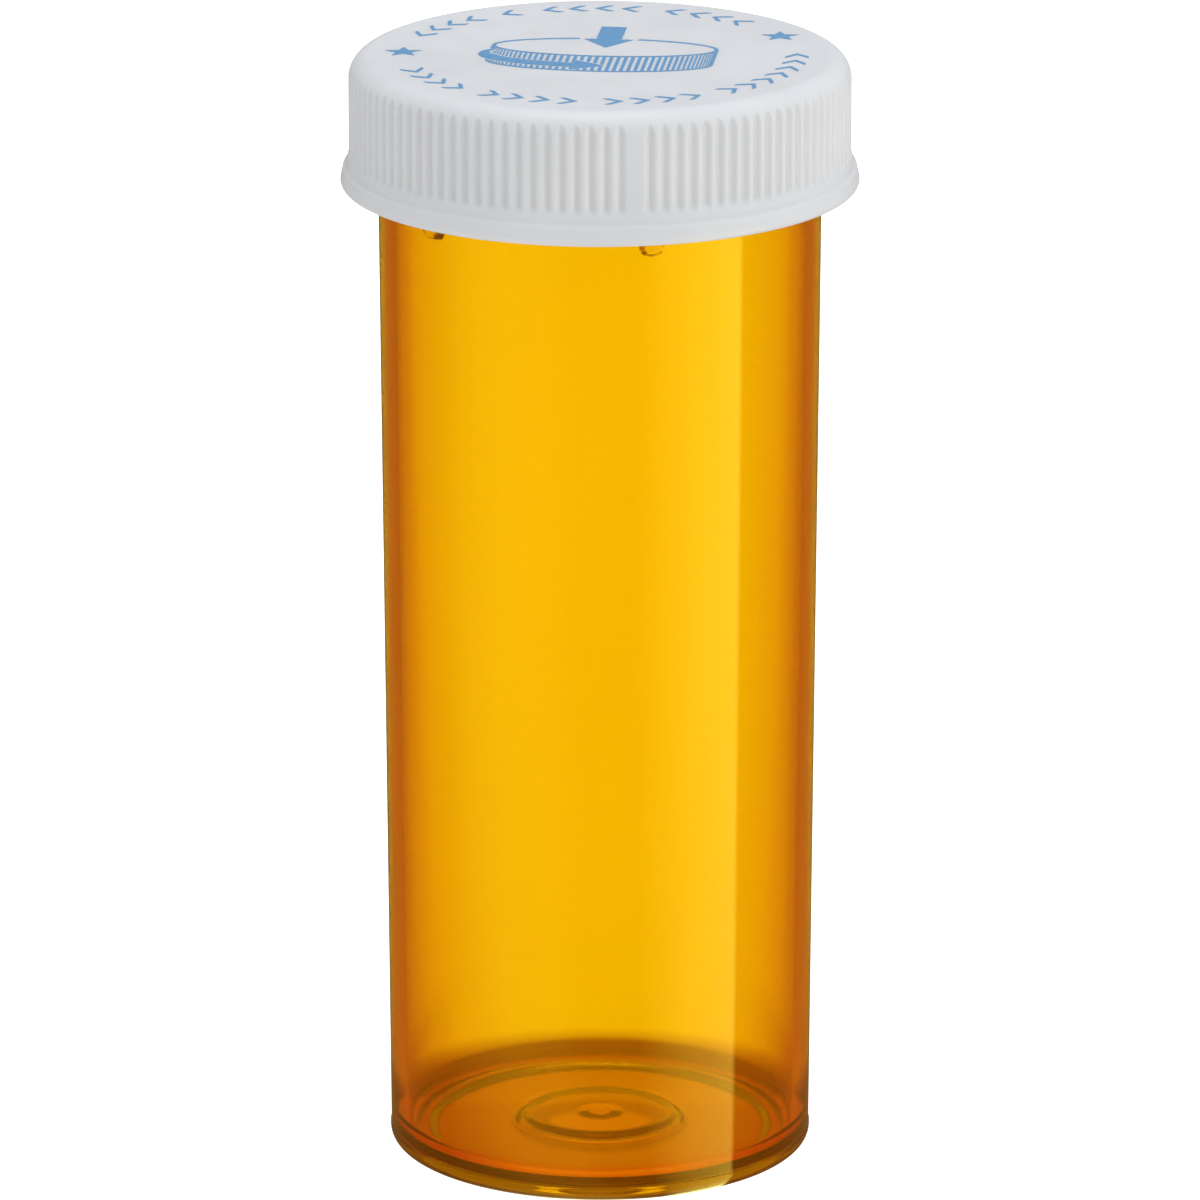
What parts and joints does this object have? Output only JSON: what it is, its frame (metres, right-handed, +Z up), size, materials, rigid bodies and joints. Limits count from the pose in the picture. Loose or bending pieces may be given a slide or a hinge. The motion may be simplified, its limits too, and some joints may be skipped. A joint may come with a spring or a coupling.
{
  "type": "prescription vial",
  "caption": "Tapered translucent amber medicine vial with a fluted white push-down-and-turn cap, a sprung inner liner and bayonet lugs round the neck.",
  "frame": {"origin": "centre of the foot ring, on the surface the vial stands on", "axes": "+Z up along the vial's axis, towards the cap; -Y is the front"},
  "size_m": [0.039, 0.039, 0.0855],
  "materials": {
    "amber_body": "translucent amber polypropylene, glossy with a faint moulded ripple",
    "cap_white": "white polypropylene with a satin moulded texture",
    "liner_natural": "natural low-density polyethylene, slightly milky",
    "blue_ink": "printed blue ink, flat"
  },
  "bodies": {
    "vial": {"vial_body": "amber_body"},
    "liner": {"liner_seal": "liner_natural", "liner_web": "liner_natural"},
    "hub": {"liner_hub": "liner_natural"},
    "cap": {"cap_shell": "cap_white", "print_marks": "blue_ink", "print_stars": "blue_ink", "print_symbol": "blue_ink", "print_arrows": "blue_ink"}
  },
  "joints": [
    {"name": "cap_lift", "type": "slide", "parent": "vial", "child": "liner", "axis": [0, 0, 1], "range_m": [0, 0.045]},
    {"name": "cap_press", "type": "slide", "parent": "liner", "child": "hub", "axis": [0, 0, 1], "range_m": [-0.002, 0], "deforming": ["liner_web"]},
    {"name": "cap_turn", "type": "hinge", "parent": "hub", "child": "cap", "pos_m": [0, 0, 0.084], "axis": [0, 0, 1], "range_deg": [0, 22], "stiffness_Nm_per_rad": 0.08, "springref_deg": -16.62}
  ],
  "couplings": [
    {"joint": "cap_press", "follows": "cap_turn", "m_per_rad": -0.0052087}
  ]
}
